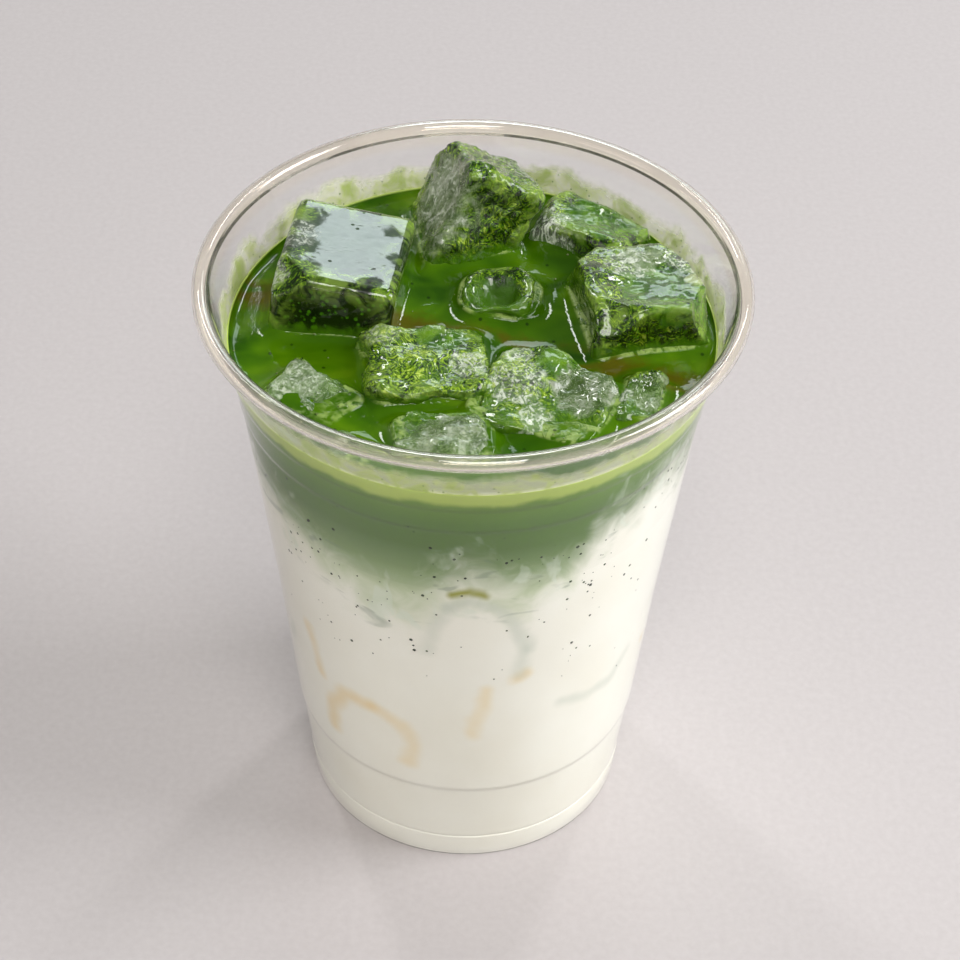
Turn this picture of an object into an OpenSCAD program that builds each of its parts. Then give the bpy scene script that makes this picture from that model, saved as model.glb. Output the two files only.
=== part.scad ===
// Iced matcha latte in a clear plastic cup: cup, milk, matcha and the ice that stands out of the drink.
// Millimetres, +Z up, origin on the table at the middle of the cup's foot.

/* [Cup] */
// Height of the cup from the table to the top of its lip
cup_h = 120; // [100:1:150]
// Diameter over the rolled lip
rim_d = 98; // [80:1:120]
// Diameter of the foot
base_d = 61.6; // [50:0.2:74]
// Diameter of the wall at half height
mid_d = 73; // [62:0.5:90]
// Thickness of the wall
wall_t = 0.6; // [0.4:0.05:1]
// Thickness of the floor
floor_t = 0.8; // [0.5:0.05:1.5]
// Thickness of the curl of the lip, over its round
lip_d = 3; // [2.6:0.1:4]
// Thickness of the sheet in the curl
curl_t = 0.5; // [0.35:0.05:0.7]
// Width of the slit between the curl and the wall
curl_slit = 0.4; // [0.3:0.05:0.6]

/* [Cup foot] */
// Width of the flat ring the cup rests on
foot_w = 2.2; // [1.5:0.1:4]
// Height of the hollow under the floor
foot_h = 4.5; // [2:0.1:6]
// Width of the slope between the ring and the floor
foot_slope = 2; // [1:0.1:4]
// Rounding of the foot's outer edge
foot_round = 0.6; // [0.3:0.1:1]
// Height of the crease above the foot
crease_h = 6.3; // [5.2:0.1:9]
// Depth of the crease
crease_depth = 0.25; // [0.1:0.05:0.4]
// Outward lean of the foot below the crease
crease_out = 0.5; // [0.2:0.1:1]

/* [Cup steps] */
// Height of the low step, where the wall widens
step_h = 22.3; // [16:0.1:30]
// Diameter of the wall under the low step
step_d = 66; // [54:0.2:78]
// How far each step stands out
step_out = 0.4; // [0.2:0.05:0.6]
// Height of one step's slope
step_rise = 1; // [0.6:0.1:1.6]
// Height of the lower ridge of the band, down from the lip
band_low = 22.2; // [18:0.1:26]
// Diameter of the wall under the band
band_d = 83.4; // [72:0.2:104]
// Height of the band between its two ridges
band_h = 5.7; // [3:0.1:8]
// How far the wall opens over the band
band_open = 0.6; // [0.2:0.1:1.2]

/* [Drink] */
// How far the drink's level is below the lip
headspace = 13; // [12:0.5:20]
// Depth of the green layer
matcha_depth = 25; // [22.5:0.5:40]
// Height the drink climbs at the wall
climb_h = 1.2; // [0.5:0.1:2]
// Width of that climbing edge
climb_w = 2; // [1:0.1:3]
// Gap between the drink and the cup
drink_fit = 0.05; // [0.02:0.01:0.1]

/* [Ice] */
// Gap between a block of ice and the drink
ice_fit = 0.1; // [0.05:0.01:0.2]
// How far melting has taken a block's edges back
ice_worn = 1.1; // [0.6:0.1:1.6]
// How far melting has taken a block's corners back
ice_corner = 2.6; // [1.8:0.1:3.4]
// Back left block: width, depth, height
ice_back_left_size = [20.5, 25, 23]; // [8:0.5:30]
// Back left block: middle, across, back and above the drink's level
ice_back_left_at = [-24.3, 11.1, -1.2]; // [-36:0.5:36]
// Back left block: turns about X, Y and Z
ice_back_left_turn = [-6, 7, -7]; // [-60:1:60]
// Back block: width, depth, height
ice_back_size = [17.5, 18.5, 26]; // [8:0.5:30]
// Back block: middle
ice_back_at = [-1.6, 30.2, 1.8]; // [-36:0.5:36]
// Back block: turns
ice_back_turn = [-16, 30, 10]; // [-60:1:60]
// Back right block: width, depth, height
ice_back_right_size = [20.5, 12.5, 16]; // [8:0.5:30]
// Back right block: middle
ice_back_right_at = [20.9, 26.8, -2]; // [-36:0.5:36]
// Back right block: turns
ice_back_right_turn = [-8, 4, -33]; // [-60:1:60]
// Right block: width, depth, height
ice_right_size = [20.5, 23, 21]; // [8:0.5:30]
// Right block: middle
ice_right_at = [29.3, 5.3, -1.4]; // [-36:0.5:36]
// Right block: turns
ice_right_turn = [-6, 6, 12]; // [-60:1:60]
// Middle block: width, depth, height
ice_middle_size = [15.5, 13.5, 16]; // [8:0.5:30]
// Middle block: middle
ice_middle_at = [5, 9.9, -3.2]; // [-36:0.5:36]
// Middle block: turns
ice_middle_turn = [5, -4, -6]; // [-60:1:60]
// Middle block: depth of the dish in its top
ice_middle_dish = 1.6; // [0.5:0.1:2.5]
// Middle block: radius of that dish
ice_middle_round = 11; // [8:0.5:16]
// Near left block: width, depth, height
ice_near_left_size = [18, 16, 19]; // [8:0.5:30]
// Near left block: middle
ice_near_left_at = [-8.7, -10.5, -4.8]; // [-36:0.5:36]
// Near left block: turns
ice_near_left_turn = [6, 5, 10]; // [-60:1:60]
// Near right block: width, depth, height
ice_near_right_size = [20.5, 16.5, 19]; // [8:0.5:30]
// Near right block: middle
ice_near_right_at = [13, -18, -6]; // [-36:0.5:36]
// Near right block: turns
ice_near_right_turn = [7, 4, -24]; // [-60:1:60]
// Left block: width, depth, height
ice_left_size = [15, 11, 17]; // [8:0.5:30]
// Left block: middle
ice_left_at = [-27.5, -18.6, -7]; // [-36:0.5:36]
// Left block: turns
ice_left_turn = [6, 8, -34]; // [-60:1:60]
// Front block: width, depth, height
ice_front_size = [14.5, 12, 17]; // [8:0.5:30]
// Front block: middle
ice_front_at = [-4.1, -29, -5.5]; // [-36:0.5:36]
// Front block: turns
ice_front_turn = [10, -5, 5]; // [-60:1:60]
// Edge block, at the wall: width, depth, height
ice_edge_size = [11, 6.5, 11]; // [8:0.5:30]
// Edge block: middle
ice_edge_at = [-18.5, -33, -4]; // [-36:0.5:36]
// Edge block: turns
ice_edge_turn = [14, 5, -30]; // [-60:1:60]
// Side block, at the right of the front: width, depth, height
ice_side_size = [8, 12, 15]; // [8:0.5:30]
// Side block: middle
ice_side_at = [30.2, -18, -5]; // [-36:0.5:36]
// Side block: turns
ice_side_turn = [5, -8, -14]; // [-60:1:60]

/* [Hidden] */
$fn = 96;
far = 400;
lip_r = lip_d / 2;
lip_x = rim_d / 2 - lip_r;
lip_z = cup_h - lip_r;
crease_r = base_d / 2 + crease_out;
band_z = cup_h - band_low;
level = cup_h - headspace;
milk_level = level - matcha_depth;
// The blocks' layout is drawn for these inside radii of the cup, at the level and at the blocks' feet.
// It grows or shrinks with the tighter of the two.
ice_drawn_r = 43.3;
ice_foot_r = 40.7;
ice_depth = 14;
// A worn block is also cut by itself turned this much, so that no two of its faces are parallel.
worn_turn = [5, -4, 3];
worn_keep = 1.1;
climb_steps = 6;

// Outside of the wall, from the foot to the curl, as [height, radius].
wall_out = [
  [foot_round, base_d / 2],
  [crease_h - step_rise / 2, crease_r],
  [crease_h, crease_r - crease_depth],
  [crease_h + step_rise / 2, crease_r],
  [step_h - step_rise / 2, step_d / 2],
  [step_h + step_rise / 2, step_d / 2 + step_out],
  [level / 2, mid_d / 2],
  [band_z - step_rise / 2, band_d / 2],
  [band_z + step_rise / 2, band_d / 2 + step_out],
  [band_z + band_h - step_rise / 2, band_d / 2 + step_out + band_open],
  [band_z + band_h + step_rise / 2, band_d / 2 + 2 * step_out + band_open],
  [lip_z, lip_x - lip_r + curl_t / 2],
];
function wall_in(z) = lookup(z, wall_out) - wall_t;
level_r = wall_in(level);
ice_k = min(level_r / ice_drawn_r, wall_in(level - ice_depth) / ice_foot_r);
foot_out_r = base_d / 2 - foot_round;
foot_in_r = foot_out_r - foot_w;

// Corners of the inside between two heights, each drawn in by a gap, as [radius, height].
function inside(low, high, gap) = concat(
  [[wall_in(low) - gap, low]],
  [for (p = wall_out) if (p[0] > low && p[0] < high) [p[1] - wall_t - gap, p[0]]],
  [[wall_in(high) - gap, high]]
);
// Corners of the hollow's roof and the groove round it, lifted by a gap, from the axis outwards.
function floor_top(gap) = [
  [0, foot_h + floor_t + gap],
  [foot_in_r - foot_slope, foot_h + floor_t + gap],
  [foot_in_r, floor_t + gap],
];

module cup() color([0.86, 0.9, 0.9, 0.35]) {
  rotate_extrude() {
    difference() {
      polygon(concat(
        [[0, foot_h], [foot_in_r - foot_slope, foot_h], [foot_in_r, 0], [foot_out_r, 0]],
        [for (p = wall_out) [p[1], p[0]]],
        [for (i = [len(wall_out) - 1 : -1 : 1]) [wall_out[i][1] - wall_t, wall_out[i][0]]],
        [[wall_in(floor_t), floor_t]],
        [for (i = [2 : -1 : 0]) floor_top(0)[i]]
      ));
      translate([lip_x, lip_z]) circle(r = lip_r - curl_t);
    }
    translate([lip_x, lip_z]) difference() {
      circle(r = lip_r);
      circle(r = lip_r - curl_t);
      translate([curl_t - lip_r, -lip_r - curl_slit]) square([curl_slit, lip_r]);
    }
  }
}

module milk() color([0.95, 0.93, 0.88])
  rotate_extrude() polygon(concat(
    floor_top(drink_fit),
    inside(floor_t + drink_fit, milk_level, drink_fit),
    [[0, milk_level]]
  ));

module matcha() color([0.24, 0.4, 0.07]) difference() {
  rotate_extrude() polygon(concat(
    [[0, milk_level]],
    inside(milk_level, level + climb_h, drink_fit),
    [for (i = [0 : climb_steps - 1])
      let (a = 90 * (i + 1) / climb_steps)
      [wall_in(level) - drink_fit - climb_w * sin(a), level + climb_h * (1 - sin(a))]],
    [[0, level]]
  ));
  back_left(ice_fit);
  back(ice_fit);
  back_right(ice_fit);
  right(ice_fit);
  middle(ice_fit);
  near_left(ice_fit);
  near_right(ice_fit);
  left(ice_fit);
  front(ice_fit);
  edge(ice_fit);
  side(ice_fit);
}

// A block's round edges along one axis: a barrel as wide as its corners, taken in by the wear.
module barrel(a, b, length, grow)
  cylinder(r = norm([a, b]) / 2 - ice_worn + grow, h = length + 2 * grow + 1, center = true);

// One melted block, set in the drink, grown on every side for its pocket.
module block(size, at, turn, grow)
  translate([at[0] * ice_k, at[1] * ice_k, level + at[2] * ice_k]) scale(ice_k) rotate(turn)
    intersection() {
      cube([size[0] + 2 * grow, size[1] + 2 * grow, size[2] + 2 * grow], center = true);
      rotate(worn_turn) cube(size * worn_keep + [2, 2, 2] * grow, center = true);
      barrel(size[0], size[1], size[2], grow);
      rotate([90, 0, 0]) barrel(size[0], size[2], size[1], grow);
      rotate([0, 90, 0]) barrel(size[1], size[2], size[0], grow);
      sphere(r = norm(size) / 2 - ice_corner + grow);
    }

module back_left(grow) block(ice_back_left_size, ice_back_left_at, ice_back_left_turn, grow);
module back(grow) block(ice_back_size, ice_back_at, ice_back_turn, grow);
module back_right(grow) block(ice_back_right_size, ice_back_right_at, ice_back_right_turn, grow);
module right(grow) block(ice_right_size, ice_right_at, ice_right_turn, grow);
module middle(grow) block(ice_middle_size, ice_middle_at, ice_middle_turn, grow);
module near_left(grow) block(ice_near_left_size, ice_near_left_at, ice_near_left_turn, grow);
module near_right(grow) block(ice_near_right_size, ice_near_right_at, ice_near_right_turn, grow);
module left(grow) block(ice_left_size, ice_left_at, ice_left_turn, grow);
module front(grow) block(ice_front_size, ice_front_at, ice_front_turn, grow);
module edge(grow) block(ice_edge_size, ice_edge_at, ice_edge_turn, grow);
module side(grow) block(ice_side_size, ice_side_at, ice_side_turn, grow);

module ice_back_left() color([0.72, 0.82, 0.78, 0.8]) back_left(0);
module ice_back() color([0.72, 0.82, 0.78, 0.8]) back(0);
module ice_back_right() color([0.72, 0.82, 0.78, 0.8]) back_right(0);
module ice_right() color([0.72, 0.82, 0.78, 0.8]) right(0);
module ice_near_left() color([0.72, 0.82, 0.78, 0.8]) near_left(0);
module ice_near_right() color([0.72, 0.82, 0.78, 0.8]) near_right(0);
module ice_left() color([0.72, 0.82, 0.78, 0.8]) left(0);
module ice_front() color([0.72, 0.82, 0.78, 0.8]) front(0);
module ice_edge() color([0.72, 0.82, 0.78, 0.8]) edge(0);
module ice_side() color([0.72, 0.82, 0.78, 0.8]) side(0);

// The middle block has a dish melted into its top.
module ice_middle() color([0.72, 0.82, 0.78, 0.8]) difference() {
  middle(0);
  translate([
    ice_middle_at[0] * ice_k,
    ice_middle_at[1] * ice_k,
    level + (ice_middle_at[2] + ice_middle_size[2] / 2 - ice_middle_dish + ice_middle_round) * ice_k,
  ]) sphere(r = ice_middle_round * ice_k);
}

cup();
milk();
matcha();
ice_back_left();
ice_back();
ice_back_right();
ice_right();
ice_middle();
ice_near_left();
ice_near_right();
ice_left();
ice_front();
ice_edge();
ice_side();
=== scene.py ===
"""Iced matcha latte in a clear plastic cup, standing on a pale floor.

Metres, +Z up, origin under the middle of the cup's foot. Sizes in the classes are millimetres, as the cup
maker would give them, and MM turns them into metres. Places come from the CAD nodes' boxes.
"""

import logging
import math
import random
from dataclasses import dataclass, field
from enum import Enum
from typing import Iterable, Sequence

import bmesh
import bpy
import numpy as np
from mathutils import Euler, Matrix, Vector, noise


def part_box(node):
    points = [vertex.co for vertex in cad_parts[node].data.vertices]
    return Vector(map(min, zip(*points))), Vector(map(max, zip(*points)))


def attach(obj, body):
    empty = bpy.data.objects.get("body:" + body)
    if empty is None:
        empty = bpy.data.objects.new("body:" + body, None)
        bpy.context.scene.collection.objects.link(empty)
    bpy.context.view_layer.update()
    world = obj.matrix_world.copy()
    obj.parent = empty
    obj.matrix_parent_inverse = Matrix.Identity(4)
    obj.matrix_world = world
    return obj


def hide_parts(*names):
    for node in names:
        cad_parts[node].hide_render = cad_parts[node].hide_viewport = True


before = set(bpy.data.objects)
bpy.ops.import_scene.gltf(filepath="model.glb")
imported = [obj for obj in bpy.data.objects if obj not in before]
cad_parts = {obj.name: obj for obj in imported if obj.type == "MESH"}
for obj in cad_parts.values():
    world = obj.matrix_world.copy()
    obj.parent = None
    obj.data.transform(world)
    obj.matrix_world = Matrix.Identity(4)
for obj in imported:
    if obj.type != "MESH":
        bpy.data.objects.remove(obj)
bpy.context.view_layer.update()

LOG = logging.getLogger("iced_matcha_latte")
MM = 0.001


class Slot(Enum):
    """Material slots named in the record."""

    CLEAR_PLASTIC = "clear_plastic"
    MILK = "milk"
    MATCHA = "matcha"
    ICE = "ice"


def tint(red: int, green: int, blue: int) -> tuple[float, float, float, float]:
    """Turn a display colour into the linear colour that shaders take.

    Args:
        red: Red from 0 to 255.
        green: Green from 0 to 255.
        blue: Blue from 0 to 255.

    Returns:
        The linear colour with full alpha.
    """

    def linear(value: int) -> float:
        share = value / 255
        return share / 12.92 if share <= 0.04045 else ((share + 0.055) / 1.055) ** 2.4

    return (linear(red), linear(green), linear(blue), 1.0)


# --------------------------------------------------------------------------- materials


@dataclass
class Graph:
    """Builds one node tree in short calls."""

    material: bpy.types.Material | bpy.types.World

    def __post_init__(self) -> None:
        """Start from an empty tree."""
        self.material.use_nodes = True
        self.tree = self.material.node_tree
        self.tree.nodes.clear()

    def put(self, socket: bpy.types.NodeSocket, value: object) -> None:
        """Link a socket to an input, or set the input's own value.

        Args:
            socket: The input.
            value: An output socket, a number, a vector or a colour.
        """
        if isinstance(value, bpy.types.NodeSocket):
            self.tree.links.new(value, socket)
        else:
            socket.default_value = value

    def node(self, kind: str, settings: dict | None = None, **inputs: object) -> bpy.types.Node:
        """Add a node.

        Args:
            kind: The node's type name, without the ShaderNode prefix.
            settings: Values of the node's own properties.
            inputs: Input names, with _ for a space, and their values.

        Returns:
            The new node.
        """
        made = self.tree.nodes.new("ShaderNode" + kind)
        for key, value in (settings or {}).items():
            setattr(made, key, value)
        for key, value in inputs.items():
            self.put(made.inputs[key.replace("_", " ")], value)
        return made

    def place(self) -> bpy.types.NodeSocket:
        """Give the piece's own coordinates in millimetres."""
        here = self.node("TexCoord").outputs["Object"]
        scaled = self.node("VectorMath", {"operation": "SCALE"}, Vector=here)
        scaled.inputs["Scale"].default_value = 1 / MM
        return scaled.outputs[0]

    def axes(self, vector: bpy.types.NodeSocket) -> tuple[bpy.types.NodeSocket, ...]:
        """Split a vector into x, y and z."""
        return tuple(self.node("SeparateXYZ", Vector=vector).outputs)

    def maths(self, operation: str, *values: object, clamp: bool = False) -> bpy.types.NodeSocket:
        """Work out one number from others.

        Args:
            operation: The Math node's operation.
            values: Numbers or sockets.
            clamp: Whether to keep the result within 0 and 1.

        Returns:
            The result's socket.
        """
        made = self.node("Math", {"operation": operation, "use_clamp": clamp})
        for index, value in enumerate(values):
            self.put(made.inputs[index], value)
        return made.outputs[0]

    def step(self, value: object, low: float, high: float) -> bpy.types.NodeSocket:
        """Rise smoothly from 0 to 1 between two values; falls when low is over high."""
        made = self.node("MapRange", {"interpolation_type": "SMOOTHSTEP"})
        flip = low > high
        ends = (high, low, 1.0, 0.0) if flip else (low, high, 0.0, 1.0)
        self.put(made.inputs[0], value)
        for index, end in enumerate(ends):
            made.inputs[index + 1].default_value = end
        return made.outputs[0]

    def cloud(
        self, where: bpy.types.NodeSocket, size: float, detail: float = 3.0, bend: float = 0.0, rough: float = 0.55
    ) -> bpy.types.NodeSocket:
        """Give soft noise about 0.5.

        Args:
            where: Coordinates in millimetres.
            size: Size of one lump in millimetres.
            detail: Octaves of finer noise.
            bend: How much the pattern is distorted.
            rough: Share each finer octave keeps.

        Returns:
            The noise's socket.
        """
        made = self.node("TexNoise", Vector=where, Scale=1 / size, Detail=detail, Distortion=bend, Roughness=rough)
        return made.outputs[0]

    def cells(self, where: bpy.types.NodeSocket, size: float, feature: str = "F1") -> bpy.types.NodeSocket:
        """Give the distance to the nearest of many scattered points."""
        made = self.node("TexVoronoi", {"feature": feature}, Vector=where, Scale=1 / size)
        return made.outputs["Distance"]

    def stretch(self, where: bpy.types.NodeSocket, by: Sequence[float], turn: Sequence[float] = (0, 0, 0)):
        """Scale and turn coordinates."""
        made = self.node("Mapping", Vector=where)
        made.inputs["Scale"].default_value = by
        made.inputs["Rotation"].default_value = [math.radians(a) for a in turn]
        return made.outputs[0]

    def blend(self, share: object, first: object, second: object) -> bpy.types.NodeSocket:
        """Mix two colours."""
        made = self.node("Mix", {"data_type": "RGBA"})
        self.put(made.inputs[0], share)
        self.put(made.inputs[6], first)
        self.put(made.inputs[7], second)
        return made.outputs[2]

    def ramp(self, share: object, stops: Sequence[tuple[float, tuple]], blend: str = "LINEAR"):
        """Pick a colour along a row of stops."""
        made = self.node("ValToRGB", Fac=share)
        made.color_ramp.interpolation = blend
        elements = made.color_ramp.elements
        while len(elements) < len(stops):
            elements.new(0.5)
        for element, (at, colour) in zip(elements, stops):
            element.position = at
            element.color = colour
        return made.outputs[0]

    def attribute(self, name: str) -> bpy.types.NodeSocket:
        """Read a number stored on the piece's points."""
        return self.node("Attribute", {"attribute_name": name}).outputs["Fac"]

    def bump(self, height: object, strength: float, depth: float, under: object = None) -> bpy.types.NodeSocket:
        """Turn a height in millimetres into a bent normal."""
        made = self.node("Bump", Height=height, Strength=strength, Distance=depth * MM)
        if under is not None:
            self.put(made.inputs["Normal"], under)
        return made.outputs[0]

    def finish(self, shader: bpy.types.NodeSocket) -> None:
        """Send a shader to the output."""
        out = self.node("OutputMaterial")
        self.tree.links.new(shader, out.inputs["Surface"])


@dataclass(frozen=True)
class Finish:
    """A named finish; its subclasses say how it is built."""

    title: str

    def build(self) -> bpy.types.Material:
        """Make the material.

        Returns:
            The finished material.
        """
        material = bpy.data.materials.new(self.title)
        self.dress(Graph(material))
        return material

    def dress(self, graph: Graph) -> None:
        """Fill the node tree. Subclasses do this."""
        raise NotImplementedError


@dataclass(frozen=True)
class ClearSheet(Finish):
    """Clear formed plastic that lets lamps through to the drink, with a faint warm haze on the lip painted to stand
    for the reflections seen in its curl.
    """

    colour: tuple = (0.985, 0.985, 0.98, 1.0)
    # Painted reflection: a faint warm haze on the lip stands for the tan and white lines that the curl reflects.
    painted_lip_reflection_colour: tuple = tint(252, 248, 241)
    painted_lip_reflection: float = 0.035
    painted_lip_reflection_from: float = 115.2
    ior: float = 1.5
    roughness: float = 0.02

    def dress(self, graph: Graph) -> None:
        """Fill the node tree."""
        here = graph.place()
        waves = graph.cloud(graph.stretch(here, (1, 1, 0.25)), 9.0, 2.0)
        # Painted reflection on the lip, patchy, above the height where it starts.
        lip = graph.step(graph.axes(here)[2], self.painted_lip_reflection_from, self.painted_lip_reflection_from + 1.8)
        patchy = graph.maths("MULTIPLY_ADD", graph.step(graph.cloud(here, 14.0, 2.0), 0.4, 0.6), 0.6, 0.4)
        painted_lip_reflection = graph.maths("MULTIPLY", graph.maths("MULTIPLY", lip, patchy), self.painted_lip_reflection)
        sheet = graph.node(
            "BsdfPrincipled",
            Base_Color=graph.blend(lip, self.colour, self.painted_lip_reflection_colour),
            Roughness=self.roughness,
            IOR=self.ior,
            Transmission_Weight=graph.maths("SUBTRACT", 1.0, painted_lip_reflection),
            Normal=graph.bump(waves, 0.12, 0.5),
        )
        clear = graph.node("BsdfTransparent", Color=(0.93, 0.93, 0.925, 1.0))
        lamp = graph.node("LightPath").outputs["Is Shadow Ray"]
        both = graph.node("MixShader", Fac=lamp)
        graph.put(both.inputs[1], sheet.outputs[0])
        graph.put(both.inputs[2], clear.outputs[0])
        graph.finish(both.outputs[0])


@dataclass(frozen=True)
class Stroke:
    """A soft stroke seen in the drink at the wall, where a sunk block's edge nears it; the grey arcs among them are
    painted shade.
    """

    corners: tuple
    width: float
    colour: tuple
    strength: float


@dataclass(frozen=True)
class Latte(Finish):
    """Milk and matcha as seen through the wall: one colour that runs from white up to green."""

    level: float = 107.0
    strokes: tuple = ()
    # Height where green turns to white, by share of a turn from the back through the left side and the front.
    border: tuple = (
        (0.0, 82),
        (0.08, 87),
        (0.17, 81),
        (0.25, 88),
        (0.32, 84),
        (0.37, 81),
        (0.4, 77),
        (0.45, 74),
        (0.5, 82),
        (0.54, 78),
        (0.57, 80),
        (0.595, 91),
        (0.63, 92),
        (0.65, 96),
        (0.7, 91),
        (0.78, 83),
        (0.86, 88),
        (0.93, 84),
        (1.0, 82),
    )
    border_low: float = 70.0
    border_span: float = 30.0

    def side_colour(self, graph: Graph, here: bpy.types.NodeSocket) -> bpy.types.NodeSocket:
        """Colour the drink by height, with drifting clouds, wisps and the glimpses of sunk ice, whose grey arcs are
        painted shade.

        Args:
            graph: The tree.
            here: Coordinates in millimetres.

        Returns:
            The colour's socket.
        """
        x, y, z = graph.axes(here)
        around = graph.maths("ARCTAN2", x, graph.maths("MULTIPLY", y, -1.0))
        share = graph.maths("ADD", graph.maths("DIVIDE", around, math.tau), 0.5)
        heights = [(at, ((h - self.border_low) / self.border_span,) * 3 + (1.0,)) for at, h in self.border]
        line = graph.ramp(share, heights, "EASE")
        line = graph.maths("MULTIPLY_ADD", line, self.border_span, self.border_low)
        drift = graph.cloud(here, 6.0, 3.0, 0.8, 0.5)
        wander = graph.maths("MULTIPLY", graph.maths("SUBTRACT", drift, 0.5), 16.0)
        over = graph.maths("ADD", graph.maths("SUBTRACT", z, line), wander)
        milk = graph.ramp(
            graph.cloud(here, 22.0, 2.0),
            ((0.35, tint(247, 246, 238)), (0.65, tint(243, 241, 231))),
        )
        top = self.level - 1.0
        green = graph.ramp(
            graph.maths("DIVIDE", graph.maths("SUBTRACT", z, 80.0), top - 80.0, clamp=True),
            (
                (0.0, tint(190, 204, 166)),
                (0.25, tint(134, 158, 108)),
                (0.5, tint(98, 128, 68)),
                (0.75, tint(94, 130, 56)),
                (1.0, tint(118, 154, 60)),
            ),
        )
        colour = graph.blend(graph.step(over, -8.0, 11.0), milk, green)
        wisps = graph.cloud(graph.stretch(here, (1, 1, 0.6), (0, 30, 0)), 5.0, 2.5, 0.9, 0.5)
        zone = graph.maths("MULTIPLY", graph.step(over, -9.0, -1.0), graph.step(over, 14.0, 4.0))
        pale = graph.maths("MULTIPLY", graph.step(wisps, 0.55, 0.66), zone)
        colour = graph.blend(graph.maths("MULTIPLY", pale, 0.5), colour, tint(224, 232, 220))
        smudges = graph.cloud(graph.stretch(here, (1, 1, 2.4)), 8.0, 2.0, 0.6)
        dim = graph.maths("MULTIPLY", graph.step(smudges, 0.6, 0.7), zone)
        colour = graph.blend(graph.maths("MULTIPLY", dim, 0.4), colour, tint(112, 130, 114))
        third = math.tau / 3
        sector = graph.maths("FLOOR", graph.maths("DIVIDE", graph.maths("ADD", around, third / 2), third))
        folded = graph.node("VectorRotate", {"rotation_type": "Z_AXIS"}, Vector=here)
        graph.put(folded.inputs["Angle"], graph.maths("MULTIPLY", sector, -third))
        sway = graph.node("TexNoise", Vector=here, Scale=0.16, Detail=2.0).outputs["Color"]
        nudge = graph.node("VectorMath", {"operation": "MULTIPLY_ADD"}, Vector=sway)
        nudge.inputs[1].default_value = (3.0, 3.0, 3.0)
        graph.put(nudge.inputs[2], folded.outputs[0])
        spot = graph.node("VectorMath", {"operation": "ADD"}, Vector=nudge.outputs[0])
        spot.inputs[1].default_value = (-1.5, -1.5, -1.5)
        broken = graph.step(graph.cloud(here, 8.0, 1.5), 0.46, 0.64)
        away = graph.maths("MINIMUM", graph.maths("ABSOLUTE", sector), 1.0)
        whole = graph.maths("SUBTRACT", 1.0, graph.maths("MULTIPLY", away, graph.maths("SUBTRACT", 1.0, broken)))
        # Strokes are glimpses of sunk ice; the grey arcs among them are painted shade.
        for stroke in self.strokes:
            colour = self.glimpse(graph, spot.outputs[0], colour, stroke, whole)
        waved = graph.maths("MULTIPLY_ADD", graph.maths("SUBTRACT", drift, 0.5), 3.0, z)
        rim = graph.maths("MULTIPLY", graph.step(waved, self.level - 2.6, self.level - 0.9), 0.85)
        return graph.blend(rim, colour, tint(196, 214, 112))

    def glimpse(self, graph: Graph, here: bpy.types.NodeSocket, colour: object, stroke: Stroke, whole: object):
        """Tint the drink along a stroke.

        Args:
            graph: The tree.
            here: Coordinates in millimetres.
            colour: The colour so far.
            stroke: The stroke.
            whole: How much of the stroke is left at each place.

        Returns:
            The new colour's socket.
        """
        nearest = None
        for first, last in zip(stroke.corners, stroke.corners[1:]):
            along = Vector(last) - Vector(first)
            start = graph.node("VectorMath", {"operation": "SUBTRACT"}, Vector=here)
            start.inputs[1].default_value = first
            dot = graph.node("VectorMath", {"operation": "DOT_PRODUCT"}, Vector=start.outputs[0])
            dot.inputs[1].default_value = along / along.length_squared
            share = graph.maths("MULTIPLY", dot.outputs["Value"], 1.0, clamp=True)
            reach = graph.node("VectorMath", {"operation": "SCALE"})
            reach.inputs[0].default_value = along
            graph.put(reach.inputs["Scale"], share)
            away = graph.node("VectorMath", {"operation": "DISTANCE"}, Vector=start.outputs[0])
            graph.put(away.inputs[1], reach.outputs[0])
            gap = away.outputs["Value"]
            nearest = gap if nearest is None else graph.maths("MINIMUM", nearest, gap)
        mask = graph.maths("MULTIPLY", graph.step(nearest, stroke.width, 0.0), stroke.strength)
        mask = graph.maths("MULTIPLY", mask, whole)
        return graph.blend(mask, colour, stroke.colour)

    def dress(self, graph: Graph) -> None:
        """Fill the node tree."""
        here = graph.place()
        ripple = graph.cloud(here, 7.0, 2.0)
        body = graph.node(
            "BsdfPrincipled",
            Base_Color=self.side_colour(graph, here),
            Roughness=graph.maths("ADD", 0.28, graph.maths("MULTIPLY", ripple, 0.1)),
            IOR=1.34,
            Normal=graph.bump(ripple, 0.15, 0.4),
        )
        graph.finish(body.outputs[0])


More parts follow.
